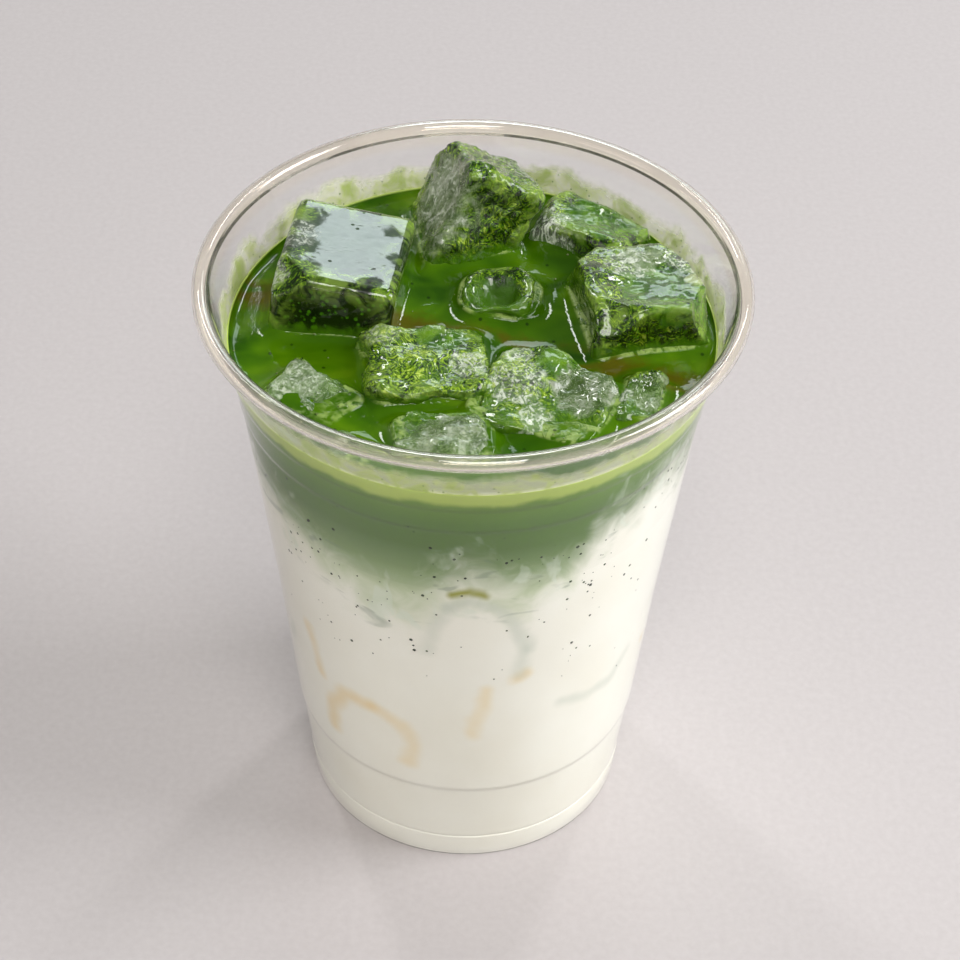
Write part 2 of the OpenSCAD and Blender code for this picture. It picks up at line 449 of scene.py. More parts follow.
@dataclass(frozen=True)
class MatchaTop(Latte):
    """The matcha layer: cloudy at the side, deep glossy green on top, with froth at the ice's shore."""

    def dress(self, graph: Graph) -> None:
        """Fill the node tree."""
        here = graph.place()
        x, y, _ = graph.axes(here)
        shore, pocket, top = (graph.attribute(name) for name in ("shore", "pocket", "top"))
        drift = graph.cloud(graph.stretch(here, (1, 1.6, 1), (0, 0, 14)), 15.0, 2.0, 0.6)
        fine = graph.cloud(here, 1.6, 5.0, 1.0)
        deep = graph.ramp(
            drift,
            (
                (0.32, tint(40, 78, 0)),
                (0.44, tint(56, 96, 1)),
                (0.56, tint(70, 110, 2)),
                (0.68, tint(86, 122, 8)),
            ),
        )
        # An olive streak lies in the channel across the middle.
        channel = graph.maths("ADD", y, graph.maths("MULTIPLY", x, 0.3))
        channel = graph.maths("ABSOLUTE", graph.maths("ADD", channel, 2.0))
        channel = graph.maths("ADD", channel, graph.maths("MULTIPLY", graph.maths("SUBTRACT", fine, 0.5), 5.0))
        olive = graph.maths("MULTIPLY", graph.step(channel, 6.0, 1.0), graph.step(drift, 0.4, 0.54))
        deep = graph.blend(graph.maths("MULTIPLY", olive, 0.85), deep, tint(84, 74, 6))
        patchy = graph.maths("MULTIPLY", graph.step(fine, 0.36, 0.56), graph.step(graph.cloud(here, 7.0), 0.42, 0.56))
        froth = graph.maths("MULTIPLY", graph.step(shore, 0.6, 0.95), patchy)
        colour = graph.blend(graph.maths("MULTIPLY", froth, 0.6), deep, tint(168, 190, 104))
        moss = graph.ramp(
            graph.cloud(here, 1.1, 4.0, 2.6, 0.7),
            (
                (0.36, tint(10, 26, 1)),
                (0.5, tint(34, 70, 5)),
                (0.6, tint(84, 124, 16)),
                (0.7, tint(130, 158, 50)),
            ),
        )
        colour = graph.blend(pocket, colour, moss)
        grains = graph.step(graph.cells(here, 3.4), 0.13, 0.07)
        colour = graph.blend(graph.maths("MULTIPLY", grains, 0.7), colour, tint(16, 34, 4))
        colour = graph.blend(top, self.side_colour(graph, here), colour)
        ripple = graph.cloud(here, 5.0, 3.0, 0.6)
        body = graph.node(
            "BsdfPrincipled",
            Base_Color=colour,
            Roughness=graph.maths("ADD", 0.06, graph.maths("MULTIPLY", froth, 0.25)),
            IOR=1.36,
            Normal=graph.bump(ripple, 0.25, 0.5, graph.bump(froth, 0.5, 0.12)),
        )
        graph.finish(body.outputs[0])


class Look(Enum):
    """What a patch on a block of ice looks like."""

    CLEAR = "clear"
    # Frost and trapped bubbles; on some blocks the frost also stands for a painted highlight where the ice shines
    # white.
    FROST = "frost"
    SMOOTH = "smooth green"
    # Painted shade with grains, on faces toward the front and in the middle block's hollow.
    PAINTED_SHADE = "dark with grains"
    DULL = "without gloss"
    DEEP = "deep smooth green"
    FOAM = "pale foam"


@dataclass(frozen=True)
class Patch:
    """A patch on a block, by the middle of the patch from the middle of the block and its radius."""

    look: Look
    at: tuple
    radius: float
    strength: float = 1.0


@dataclass(frozen=True)
class WetIce(Finish):
    """Melting ice with matcha on it: stringy moss-like green, with patches that are clear or frosted, and painted
    shade on steep faces and in the dark patches.
    """

    middle: tuple = (0.0, 0.0, 0.0)
    patches: tuple = ()
    bright: float = 0.5
    calm: float = 0.0
    seed: float = 0.0
    level: float = 107.0

    def area(self, graph: Graph, local: object, edge: object, look: Look) -> object:
        """Mask the patches of one look.

        Args:
            graph: The tree.
            local: Coordinates from the block's middle.
            edge: Noise about 0 that frays the patches' edges.
            look: The look.

        Returns:
            The mask, or 0 where there is no such patch.
        """
        mask = 0.0
        for patch in (p for p in self.patches if p.look is look):
            away = graph.node("VectorMath", {"operation": "DISTANCE"}, Vector=local)
            away.inputs[1].default_value = patch.at
            gap = graph.maths("MULTIPLY_ADD", edge, patch.radius * 1.3, away.outputs["Value"])
            one = graph.step(gap, patch.radius * 1.12, patch.radius * 0.8)
            one = graph.maths("MULTIPLY", one, patch.strength)
            mask = graph.maths("MAXIMUM", mask, one)
        return mask

    def dress(self, graph: Graph) -> None:
        """Fill the node tree."""
        real = graph.place()
        moved = graph.node("VectorMath", {"operation": "ADD"}, Vector=real)
        moved.inputs[1].default_value = (self.seed * 13.0, self.seed * 7.0, self.seed * 5.0)
        here = moved.outputs[0]
        from_middle = graph.node("VectorMath", {"operation": "SUBTRACT"}, Vector=real)
        from_middle.inputs[1].default_value = self.middle
        local = from_middle.outputs[0]
        up = graph.maths("SUBTRACT", graph.axes(real)[2], self.level)
        edge = graph.maths("SUBTRACT", graph.cloud(here, 3.4, 4.0, 1.0), 0.5)
        clear, frosted, smooth, dark, dull, deep, foam = (self.area(graph, local, edge, look) for look in Look)
        upright = graph.axes(graph.node("NewGeometry").outputs["Normal"])[2]
        # Steep faces get painted shade: a near-black speckled green is laid on them by how upright the surface is.
        steep = graph.step(graph.maths("MULTIPLY_ADD", edge, 0.5, upright), 0.55, 0.2)
        threads = graph.cloud(here, 2.3, 5.0, 4.2, 0.62)
        clumps = graph.cloud(here, 4.2, 3.0, 0.8)
        lift = 0.12 * (self.bright - 0.5)
        tone = graph.maths("ADD", threads, graph.maths("MULTIPLY_ADD", clumps, 0.3, lift - 0.15))
        moss = graph.ramp(
            tone,
            (
                (0.38, tint(10, 24, 0)),
                (0.46, tint(34, 64, 1)),
                (0.53, tint(74, 114, 4)),
                (0.6, tint(124, 160, 16)),
                (0.68, tint(178, 200, 60)),
                (0.78, tint(222, 230, 144)),
            ),
        )
        plain_green = graph.ramp(
            graph.cloud(here, 7.0, 3.0, 1.0),
            ((0.35, tint(32, 68, 1)), (0.5, tint(60, 104, 3)), (0.65, tint(96, 138, 18))),
        )
        # Near-black green with lighter grains: the painted shade colour for steep faces and dark patches.
        grains = graph.maths("MULTIPLY", graph.step(graph.cells(here, 1.15), 0.42, 0.2), graph.step(clumps, 0.4, 0.6))
        painted_shade_murk = graph.blend(graph.maths("MULTIPLY", grains, 0.8), tint(12, 24, 4), tint(66, 122, 14))
        streaks = graph.cloud(graph.stretch(here, (1, 1, 0.3), (20, 30, 10)), 1.4, 5.0, 1.2, 0.7)
        bubbles = graph.step(graph.cells(here, 0.8), 0.32, 0.18)
        white = graph.maths("MAXIMUM", graph.step(streaks, 0.48, 0.62), graph.maths("MULTIPLY", bubbles, 0.7))
        frost = graph.maths("MULTIPLY", frosted, graph.maths("MULTIPLY_ADD", white, 0.8, 0.12))
        spots = graph.step(graph.cells(here, 4.2), 0.11, 0.07)
        matte = graph.maths("MAXIMUM", graph.maths("MAXIMUM", frosted, dull), spots)
        # Painted shade on steep faces.
        colour = graph.blend(graph.maths("MULTIPLY", steep, 0.6), moss, painted_shade_murk)
        colour = graph.blend(smooth, colour, plain_green)
        colour = graph.blend(deep, colour, graph.blend(clumps, tint(12, 34, 4), tint(36, 66, 10)))
        # Painted shade in the dark patches.
        colour = graph.blend(dark, colour, painted_shade_murk)
        rim = graph.maths("MULTIPLY", graph.step(graph.attribute("rim"), 0.5, 0.95), graph.step(clumps, 0.42, 0.58))
        colour = graph.blend(graph.maths("MULTIPLY", rim, 0.55), colour, tint(134, 164, 66))
        lapped = graph.maths("MULTIPLY_ADD", edge, 5.0, up)
        colour = graph.blend(graph.maths("MULTIPLY", graph.step(lapped, 3.6, 1.6), 0.8), colour, tint(66, 110, 6))
        colour = graph.blend(graph.maths("MULTIPLY", spots, smooth), colour, tint(20, 40, 8))
        inside = graph.ramp(
            graph.maths("MULTIPLY_ADD", graph.maths("SUBTRACT", threads, 0.5), 0.6, clumps),
            ((0.36, tint(92, 124, 52)), (0.5, tint(144, 170, 110)), (0.66, tint(216, 226, 200))),
        )
        colour = graph.blend(clear, colour, inside)
        # Frost colour, partly a painted highlight on some blocks.
        colour = graph.blend(frost, colour, tint(228, 234, 218))
        colour = graph.blend(graph.maths("MULTIPLY", foam, 0.85), colour, tint(206, 216, 160))
        see = graph.maths("MULTIPLY", clear, graph.maths("MULTIPLY_ADD", frost, -0.75, 1.0), clamp=True)
        see = graph.maths("MULTIPLY", see, 0.6)
        lumps = graph.maths("MULTIPLY_ADD", threads, 0.45, graph.cloud(here, 2.4, 3.0, 0.8))
        block = graph.node(
            "BsdfPrincipled",
            Base_Color=colour,
            Roughness=graph.maths("MULTIPLY_ADD", matte, 0.4, 0.06),
            IOR=1.31,
            Transmission_Weight=see,
            Coat_Weight=graph.maths("MULTIPLY_ADD", matte, -0.8, 0.9),
            Coat_Roughness=0.03,
            Normal=graph.bump(lumps, 0.7 * (1 - self.calm), 0.7),
        )
        through = graph.node("BsdfTransparent", Color=(0.75, 0.88, 0.68, 1.0))
        lamp = graph.node("LightPath").outputs["Is Shadow Ray"]
        both = graph.node("MixShader", Fac=graph.maths("MULTIPLY", lamp, see))
        graph.put(both.inputs[1], block.outputs[0])
        graph.put(both.inputs[2], through.outputs[0])
        graph.finish(both.outputs[0])


@dataclass(frozen=True)
class Film(Finish):
    """Thin green residue that the drink leaves on the wall over its level."""

    level: float = 107.0
    reach: float = 9.0

    def dress(self, graph: Graph) -> None:
        """Fill the node tree."""
        here = graph.place()
        z = graph.axes(here)[2]
        tide = graph.maths("MULTIPLY", graph.maths("SUBTRACT", graph.cloud(here, 15.0, 3.0, 0.4), 0.5), 10.0)
        ragged = graph.maths("MULTIPLY", graph.maths("SUBTRACT", graph.cloud(here, 3.0, 2.5, 0.2), 0.5), 3.0)
        up = graph.maths("SUBTRACT", graph.maths("SUBTRACT", z, self.level), graph.maths("ADD", tide, ragged))
        body = graph.step(up, self.reach * 0.76, self.reach * 0.4)
        patch = graph.step(graph.cloud(here, 5.0, 5.0, 0.6, 0.62), 0.36, 0.68)
        share = graph.maths("MULTIPLY", body, graph.maths("MULTIPLY_ADD", patch, 0.32, 0.34))
        hem = graph.maths("MULTIPLY", body, graph.step(up, self.reach * 0.42, self.reach * 0.58))
        share = graph.maths("MAXIMUM", share, graph.maths("MULTIPLY", hem, 0.42))
        low = graph.step(graph.maths("SUBTRACT", z, self.level), 3.4, 0.8)
        share = graph.maths("MAXIMUM", share, graph.maths("MULTIPLY", low, 0.8))
        specks = graph.maths("MULTIPLY", graph.step(graph.cells(here, 1.5), 0.16, 0.08), body)
        colour = graph.ramp(
            patch, ((0.0, tint(244, 246, 214)), (0.5, tint(222, 230, 160)), (1.0, tint(186, 206, 92)))
        )
        colour = graph.blend(specks, colour, tint(104, 138, 34))
        wet = graph.node("BsdfPrincipled", Base_Color=colour, Roughness=0.3, IOR=1.34)
        none = graph.node("BsdfTransparent")
        both = graph.node("MixShader", Fac=graph.maths("MAXIMUM", share, graph.maths("MULTIPLY", specks, 0.7)))
        graph.put(both.inputs[1], none.outputs[0])
        graph.put(both.inputs[2], wet.outputs[0])
        graph.finish(both.outputs[0])


@dataclass(frozen=True)
class Speck(Finish):
    """Grains of matcha, or froth bubbles, as plain wet matter with a little unevenness."""

    dark: tuple = (0.004, 0.012, 0.002, 1.0)
    light: tuple = (0.03, 0.06, 0.01, 1.0)
    roughness: float = 0.35
    see: float = 0.0

    def dress(self, graph: Graph) -> None:
        """Fill the node tree."""
        here = graph.place()
        colour = graph.blend(graph.step(graph.cloud(here, 0.7, 3.0), 0.4, 0.6), self.dark, self.light)
        matter = graph.node(
            "BsdfPrincipled",
            Base_Color=colour,
            Roughness=self.roughness,
            IOR=1.33,
            Transmission_Weight=self.see,
        )
        graph.finish(matter.outputs[0])


@dataclass(frozen=True)
class PaleFloor(Finish):
    """A plain pale floor."""

    def dress(self, graph: Graph) -> None:
        """Fill the node tree."""
        here = graph.place()
        grain = graph.cloud(here, 1.5, 3.0)
        colour = graph.blend(grain, tint(191, 184, 184), tint(205, 199, 199))
        floor = graph.node("BsdfPrincipled", Base_Color=colour, Roughness=0.75, Normal=graph.bump(grain, 0.1, 0.2))
        graph.finish(floor.outputs[0])


# --------------------------------------------------------------------------- building


def to_object(mesh_data: bmesh.types.BMesh, name: str, material: bpy.types.Material, sharp: float = 35.0):
    """Turn a bmesh in millimetres into a shown piece in metres.

    Args:
        mesh_data: The bmesh, which is freed.
        name: The piece's name.
        material: Its material.
        sharp: Edges over this angle in degrees stay sharp.

    Returns:
        The new object.
    """
    bmesh.ops.remove_doubles(mesh_data, verts=mesh_data.verts, dist=1e-5)
    bmesh.ops.scale(mesh_data, vec=(MM, MM, MM), verts=mesh_data.verts)
    bmesh.ops.recalc_face_normals(mesh_data, faces=mesh_data.faces)
    for face in mesh_data.faces:
        face.smooth = True
    mesh = bpy.data.meshes.new(name)
    mesh_data.to_mesh(mesh)
    mesh_data.free()
    mesh.set_sharp_from_angle(angle=math.radians(sharp))
    mesh.materials.append(material)
    made = bpy.data.objects.new(name, mesh)
    bpy.context.scene.collection.objects.link(made)
    LOG.info("%s: %d points, %d faces", name, len(mesh.vertices), len(mesh.polygons))
    return made


def turned(profile: Sequence[tuple[float, float]], steps: int, closed: bool = False) -> bmesh.types.BMesh:
    """Spin a profile of (radius, height) about the axis.

    Args:
        profile: Corners from one end to the other.
        steps: Steps in the full turn.
        closed: Whether the last corner joins the first.

    Returns:
        A closed bmesh in millimetres.
    """
    made = bmesh.new()
    corners = [made.verts.new((radius, 0.0, height)) for radius, height in profile]
    pairs = list(zip(corners, corners[1:])) + ([(corners[-1], corners[0])] if closed else [])
    edges = [made.edges.new(pair) for pair in pairs]
    bmesh.ops.spin(
        made,
        geom=corners + edges,
        cent=(0, 0, 0),
        axis=(0, 0, 1),
        angle=math.tau,
        steps=steps,
        use_merge=True,
    )
    bmesh.ops.remove_doubles(made, verts=made.verts, dist=1e-4)
    return made


@dataclass
class Cup:
    """The clear cup: a thin sheet with a hollow foot, two steps, a band and a curled lip."""

    height: float = 120.0
    rim_d: float = 98.0
    base_d: float = 61.6
    wall: float = 0.6
    floor: float = 0.8
    foot_w: float = 2.2
    foot_h: float = 4.5
    foot_slope: float = 2.0
    foot_round: float = 0.6
    lip_r: float = 1.5
    curl: float = 0.5
    ease: float = 0.35
    long_wall: float = 6.0
    steps: int = 224
    # Height and outer radius of each corner of the wall between the foot and the lip.
    corners: tuple = (
        (5.8, 31.3),
        (6.3, 31.05),
        (6.8, 31.3),
        (21.8, 33.0),
        (22.8, 33.4),
        (53.5, 36.5),
        (97.3, 41.7),
        (98.3, 42.1),
        (103.0, 42.7),
        (104.0, 43.1),
        (117.4, 46.1),
    )

    def outer(self) -> list[tuple[float, float]]:
        """Give the outer wall from the foot up, each corner eased, with a ring close by on long walls."""
        rough = [(self.base_d / 2, self.foot_round)] + [(r, z) for z, r in self.corners]
        eased = [rough[0]]
        for before, here, after in zip(rough, rough[1:], rough[2:]):
            for other, reaches in ((before, (2.5, 1.0)), (after, (1.0, 2.5))):
                far = math.dist(here, other)
                for reach in reaches:
                    if reach > 1.0 and far < self.long_wall:
                        continue
                    share = min(self.ease * reach, far * 0.4) / far
                    eased.append(tuple(h + (o - h) * share for h, o in zip(here, other)))
        return eased + [rough[-1]]

    def inner_radius(self, height: float) -> float:
        """Give the wall's inner radius at a height in millimetres."""
        rows = [(self.foot_round, self.base_d / 2)] + list(self.corners)
        heights, radii = zip(*rows)
        return float(np.interp(height, heights, radii)) - self.wall

    def arc(self, radius: float, start: float, end: float, count: int) -> list[tuple[float, float]]:
        """Give points on a round about the lip's middle, with angles in degrees."""
        x, z = self.rim_d / 2 - self.lip_r, self.height - self.lip_r
        angles = (math.radians(start + (end - start) * i / count) for i in range(count + 1))
        return [(x + radius * math.cos(a), z + radius * math.sin(a)) for a in angles]

    def profile(self) -> list[tuple[float, float]]:
        """Give the closed outline of the sheet, from the axis under the floor round to the axis over it."""
        foot_out = self.base_d / 2 - self.foot_round
        foot_in = foot_out - self.foot_w
        slope = foot_in - self.foot_slope
        under = [(0.0, self.foot_h), (slope, self.foot_h), (foot_in, 0.0), (foot_out, 0.0)]
        outside = self.outer()
        curl = self.arc(self.lip_r - self.curl, 180, -140, 26)
        back = self.arc(self.lip_r, -140, 172, 34)
        inside = [(r - self.wall, z) for r, z in reversed(outside[1:])]
        over = [
            (self.inner_radius(self.floor), self.floor),
            (foot_in, self.floor),
            (slope, self.foot_h + self.floor),
            (0.0, self.foot_h + self.floor),
        ]
        return under + outside + curl + back + inside + over

    def build(self, finish: Finish) -> bpy.types.Object:
        """Make the cup.

        Args:
            finish: The sheet's finish.

        Returns:
            The cup.
        """
        made = to_object(turned(self.profile(), self.steps), "clear_cup", finish.build(), 50.0)
        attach(made, "root")
        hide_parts("cup")
        return made


@dataclass
class Block:
    """One worn block of ice."""

    node: str
    size: tuple
    turn: tuple
    patches: tuple = ()
    bright: float = 0.5
    calm: float = 0.0
    dish: float = 0.7
    worn: float = 3.2
    lumps: float = 2.6
    chips: int = 6
    steep: float = 1.0
    grid: float = 0.5
    seed: int = 1

    def __post_init__(self) -> None:
        """Find the block's middle from its CAD node, and choose its chipped corners."""
        low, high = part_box(self.node)
        self.middle = (low + high) / 2 / MM
        self.frame = Euler([math.radians(a) for a in self.turn], "XYZ").to_matrix()
        self.half = Vector(self.size) / 2
        dice = random.Random(self.seed)
        self.cuts = []
        for _ in range(self.chips):
            way = Vector([dice.choice((-1, 1)) * dice.uniform(0.25, 1.0) for _ in range(3)])
            way = Vector([w * h for w, h in zip(way, self.half)]).normalized()
            reach = sum(abs(w) * h for w, h in zip(way, self.half))
            self.cuts.append((way, reach * dice.uniform(0.74, 0.88)))

    def distance(self, points: np.ndarray) -> np.ndarray:
        """Give how far points are outside the block, less than 0 inside.

        Args:
            points: Rows of x, y, z in millimetres.

        Returns:
            One distance a row.
        """
        local = (points - np.array(self.middle)) @ np.array(self.frame)
        gap = np.abs(local) - (np.array(self.half) - self.worn)
        outside = np.linalg.norm(np.maximum(gap, 0.0), axis=1)
        return outside + np.minimum(gap.max(axis=1), 0.0) - self.worn

    def shape(self, spot: Vector) -> tuple[Vector, float]:
        """Move a point of the plain block to where melting left it.

        Args:
            spot: The point from the block's middle.

        Returns:
            The new point, and how near it is to an edge, up to 1.
        """
        core = Vector([max(-h + self.worn, min(h - self.worn, v)) for v, h in zip(spot, self.half)])
        normal = (spot - core).normalized()
        share = [abs(v) / h for v, h in zip(spot, self.half)]
        axis = max(range(3), key=lambda i: share[i])
        hollow = math.prod(max(0.0, 1 - share[i] ** 2) for i in range(3) if i != axis) ** self.steep
        near = max(share[i] for i in range(3) if i != axis)
        place = core + normal * self.worn
        for way, reach in self.cuts:
            over = way.dot(place) - reach
            if over > 0:
                place -= way * over
        seed = Vector((self.seed * 11.3, self.seed * 5.7, self.seed * 3.1))
        loose = 1 - self.calm
        bend = noise.noise_vector(place / 8.0 + seed) * self.lumps * loose
        small = noise.fractal(place / 2.2 + seed, 0.6, 2.0, 3)
        ridge = 0.4 - abs(noise.noise(place / 1.7 - seed))
        melt = 0.3 * small * loose + 0.35 * ridge * loose - self.dish * hollow
        return place + bend + normal * melt, near

    def build(self, level: float) -> bpy.types.Object:
        """Make the block.

        Args:
            level: The drink's level in millimetres.

        Returns:
            The block.
        """
        made = bmesh.new()
        bmesh.ops.create_cube(made, size=2.0)
        cuts = max(10, round(max(self.size) / self.grid))
        bmesh.ops.subdivide_edges(made, edges=made.edges, cuts=cuts, use_grid_fill=True)
        rim = made.verts.layers.float.new("rim")
        for corner in made.verts:
            place, near = self.shape(Vector([v * h for v, h in zip(corner.co, self.half)]))
            corner.co = self.middle + self.frame @ place
            corner[rim] = near
        look = WetIce(
            self.node.replace("_", " "),
            tuple(self.middle),
            self.patches,
            self.bright,
            self.calm,
            float(self.seed),
            level,
        )
        piece = to_object(made, "worn_" + self.node, look.build(), 60.0)
        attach(piece, "root")
        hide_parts(self.node)
        return piece


@dataclass
class Drink:
    """Milk and matcha, each filling the cup into its wall."""

    cup: Cup
    blocks: tuple
    strokes: tuple
    into_wall: float = 0.12
    climb_h: float = 1.2
    climb_w: float = 2.2
    shore_h: float = 1.5
    shore_w: float = 1.3
    pocket: float = 8.0
    lap: float = 2.4
    steps: int = 440
    ring: float = 0.55

    def __post_init__(self) -> None:
        """Read the levels from the CAD nodes."""
        self.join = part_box("milk")[1].z / MM
        self.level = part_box("matcha")[1].z / MM - self.climb_h

    def wall_line(self, low: float, high: float) -> list[tuple[float, float]]:
        """Give the drink's side between two heights, just into the wall."""
        near = (-0.5, -0.12, 0.12, 0.5)
        corners = {round(z + step, 2) for z, _ in self.cup.corners for step in near if low < z + step < high}
        return [(self.cup.inner_radius(z) + self.into_wall, z) for z in [low] + sorted(corners) + [high]]

    def milk(self) -> bpy.types.Object:
        """Make the milk.

        Returns:
            The milk.
        """
        cup = self.cup
        foot_in = cup.base_d / 2 - cup.foot_round - cup.foot_w
        slope = foot_in - cup.foot_slope
        lift = cup.floor - self.into_wall
        under = [(0.0, cup.foot_h + lift), (slope, cup.foot_h + lift), (foot_in, lift)]
        side = self.wall_line(lift, self.join)
        made = turned(under + side + [(0.0, self.join)], 224)
        piece = to_object(made, "milk_layer", Latte("milk", self.level, self.strokes).build(), 40.0)
        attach(piece, "root")
        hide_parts("milk")
        return piece

    def heights(self, points: np.ndarray) -> tuple[np.ndarray, np.ndarray, np.ndarray]:
        """Work out the top's lift beside and under the ice.

        Args:
            points: Rows of x, y, z in millimetres.

        Returns:
            The lift, the share of shore froth and the share of pocket, one of each a row.
        """
        flat = points.copy()
        flat[:, 2] = self.level + 0.4
        away = np.min([block.distance(flat) for block in self.blocks], axis=0)
        climb = self.shore_h * np.exp(-np.maximum(away + 0.5, 0.0) / self.shore_w)
        under = np.clip((-away - self.lap) * 3.2, 0.0, self.pocket)
        shore = np.exp(-np.maximum(away + 0.4, 0.0) / 0.8)
        return climb - under, shore, np.clip((-away - self.lap + 0.4) * 2.0, 0.0, 1.0)

    def matcha(self) -> bpy.types.Object:
        """Make the matcha, with its top climbing at the wall and at the ice.

        Returns:
            The matcha.
        """
        wall = self.cup.inner_radius(self.level)
        flat = np.arange(0.0, wall - self.climb_w, self.ring)
        top = [(float(r), self.level) for r in flat]
        for i in range(7):
            a = math.radians(90 * i / 6)
            top.append((wall - self.climb_w * (1 - math.sin(a)), self.level + self.climb_h * (1 - math.cos(a))))
        side = list(reversed(self.wall_line(self.join, self.level + self.climb_h)))
        made = turned(top + side + [(0.0, self.join)], self.steps)
        layers = {name: made.verts.layers.float.new(name) for name in ("shore", "pocket", "top")}
        layers = {name: made.verts.layers.float[name] for name in layers}
        upper = [v for v in made.verts if v.co.z > self.level - 0.01 and v.co.xy.length < wall - 0.02]
        points = np.array([v.co for v in upper])
        lift, shore, pocket = self.heights(points)
        for corner, up, froth, hole in zip(upper, lift, shore, pocket):
            near_wall = min(1.0, (wall - corner.co.xy.length) / self.climb_w)
            swell = 0.45 * noise.noise(corner.co / 8.0) * near_wall
            corner.co.z += float(up) + swell
            corner[layers["shore"]] = float(froth)
            corner[layers["pocket"]] = float(hole)
            corner[layers["top"]] = 1.0
        piece = to_object(made, "matcha_layer", MatchaTop("matcha", self.level, self.strokes).build(), 70.0)
        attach(piece, "root")
        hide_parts("matcha")
        return piece


@dataclass
class Scatter:
    """Many small round things joined in one piece."""

    name: str
    finish: Finish
    slot: Slot
    spots: Iterable[tuple[Vector, Vector, float, float]] = field(default_factory=list)
    detail: int = 1

    def build(self) -> bpy.types.Object:
        """Make the piece; each spot is a middle, a normal, a radius and how flat it lies.

        Returns:
            The piece.
        """
        made = bmesh.new()
        for middle, normal, radius, flat in self.spots:
            turn = normal.to_track_quat("Z", "Y").to_matrix().to_4x4()
            place = Matrix.Translation(middle) @ turn @ Matrix.Diagonal((radius, radius, radius * flat, 1.0))
            bmesh.ops.create_icosphere(made, subdivisions=self.detail, radius=1.0, matrix=place)
        piece = to_object(made, self.name, self.finish.build(), 80.0)
        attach(piece, "root")
        return piece


@dataclass
class Trimmings:
    """The residue on the wall, the grains in the milk and the bubbles at the drink's edge."""

    drink: Drink
    seed: int = 11

    def film(self) -> bpy.types.Object:
        """Make the residue as a thin sleeve inside the wall.

        Returns:
            The sleeve.
        """
        cup, level = self.drink.cup, self.drink.level
        heights = np.linspace(level + 0.6, level + 10.5, 10)
        outer = [(cup.inner_radius(z) - 0.02, float(z)) for z in heights]
        inner = [(r - 0.06, z) for r, z in reversed(outer)]
        made = turned(outer + inner, 288, closed=True)
        piece = to_object(made, "wall_residue", Film("residue", level).build(), 40.0)
        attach(piece, "root")
        return piece

    def grains(self) -> bpy.types.Object:
        """Scatter dark grains where milk and matcha meet at the wall."""
        dice = random.Random(self.seed)
        cup = self.drink.cup
        spots = []
        for _ in range(150):
            around, height = dice.uniform(0, math.tau), dice.triangular(42, 102, 84)
            for _ in range(dice.choice((1, 2, 3, 6))):
                a = around + dice.gauss(0, 0.07)
                z = min(103.0, height + dice.gauss(0, 3.2))
                out = Vector((math.cos(a), math.sin(a), 0))
                radius = cup.inner_radius(z) + self.drink.into_wall
                size = 0.12 + 0.28 * dice.random() ** 2.0
                spots.append((out * radius + Vector((0, 0, z)), out, size, 0.3))
        return Scatter("matcha_grains", Speck("grains"), Slot.MATCHA, spots).build()

    def bubbles(self) -> bpy.types.Object:
        """Scatter small bubbles along the drink's edge and the shores of the ice."""
        dice = random.Random(self.seed + 1)
        drink = self.drink
        wall = drink.cup.inner_radius(drink.level)
        spots = []
        for _ in range(1500):
            a, r = dice.uniform(0, math.tau), wall * math.sqrt(dice.random()) - 0.6
            spot = np.array([[r * math.cos(a), r * math.sin(a), drink.level]])
            lift, shore, hole = drink.heights(spot)
            edge = math.exp(-(wall - r) / 1.2)
            if hole[0] > 0 or dice.random() > max(0.05, 0.6 * shore[0] ** 2, 0.8 * edge):
                continue
            size = 0.08 + 0.26 * dice.random() ** 4
            rise = float(lift[0]) + drink.climb_h * edge * 0.8
            spots.append((Vector((*spot[0][:2], drink.level + rise)), Vector((0, 0, 1)), size, 0.8))
        clear = Speck("bubbles", tint(150, 176, 96), tint(196, 208, 150), 0.08, 0.6)
        return Scatter("edge_bubbles", clear, Slot.MATCHA, spots).build()


